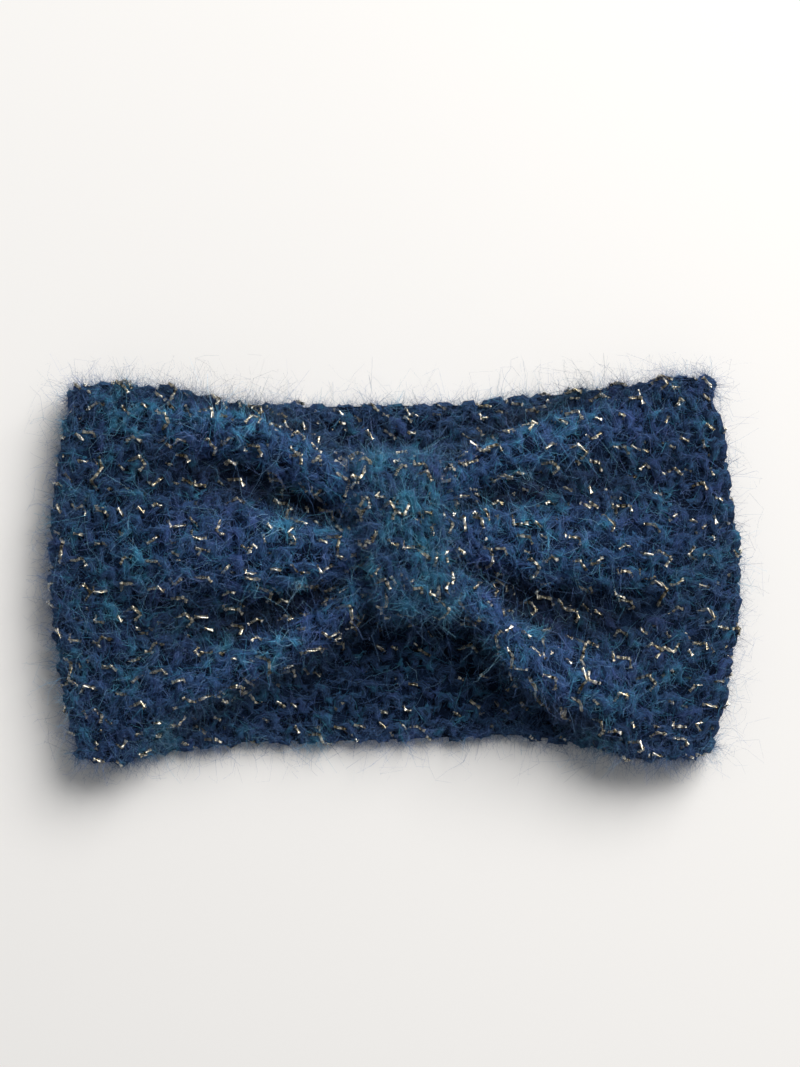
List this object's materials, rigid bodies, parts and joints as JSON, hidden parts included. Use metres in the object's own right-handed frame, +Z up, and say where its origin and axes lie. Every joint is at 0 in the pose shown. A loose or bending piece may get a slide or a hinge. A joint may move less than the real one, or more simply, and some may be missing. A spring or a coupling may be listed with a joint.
{
  "type": "knit headband",
  "caption": "Wide knit headband lying flat, its front panel gathered into soft folds by a narrow knit ring at the middle.",
  "frame": {"origin": "on the surface that the band lies on, under the middle of its box", "axes": "+X along the width of the flat band, +Y towards its upper hem, +Z up out of the gathered front"},
  "size_m": [0.231, 0.1306, 0.0322],
  "materials": {
    "band_knit": "bulky brushed seed stitch in dark navy yarn with teal and purple streaks, gold metallic thread and a long soft halo",
    "wrap_knit": "the same yarn, with more teal"
  },
  "bodies": {
    "root": {"band": "band_knit", "centre_wrap": "wrap_knit"}
  },
  "joints": []
}
